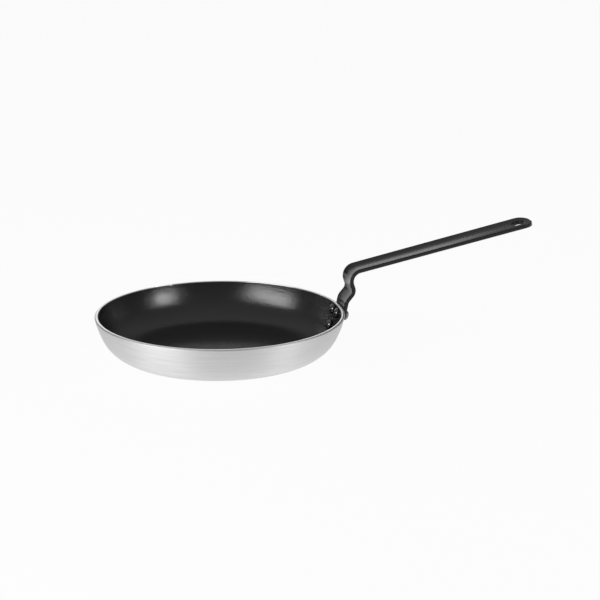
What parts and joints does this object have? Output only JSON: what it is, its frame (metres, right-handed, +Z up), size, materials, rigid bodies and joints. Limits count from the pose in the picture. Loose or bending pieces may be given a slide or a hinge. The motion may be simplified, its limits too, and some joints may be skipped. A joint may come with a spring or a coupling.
{
  "type": "frying pan",
  "caption": "Round shallow frying pan with a flared, curved aluminium wall, a black non-stick lining and a riveted, bent steel strip handle that rises and ends in a hanging hole.",
  "frame": {"origin": "middle of the flat underside of the base", "axes": "+Z up through the pan's middle, +X from the pan's middle towards the handle's tip"},
  "size_m": [0.4355, 0.24, 0.1132],
  "materials": {
    "pan_aluminium": "lathe-turned satin",
    "nonstick_black": "satin non-stick coating with a fine orange peel",
    "handle_black": "satin black epoxy coat on steel",
    "rivet_aluminium": "satin, partly coated"
  },
  "bodies": {
    "root": {"pan_body": "pan_aluminium", "nonstick_lining": "nonstick_black", "handle": "handle_black", "rivet_upper_left": "rivet_aluminium", "rivet_upper_right": "rivet_aluminium", "rivet_lower": "rivet_aluminium"}
  },
  "joints": []
}
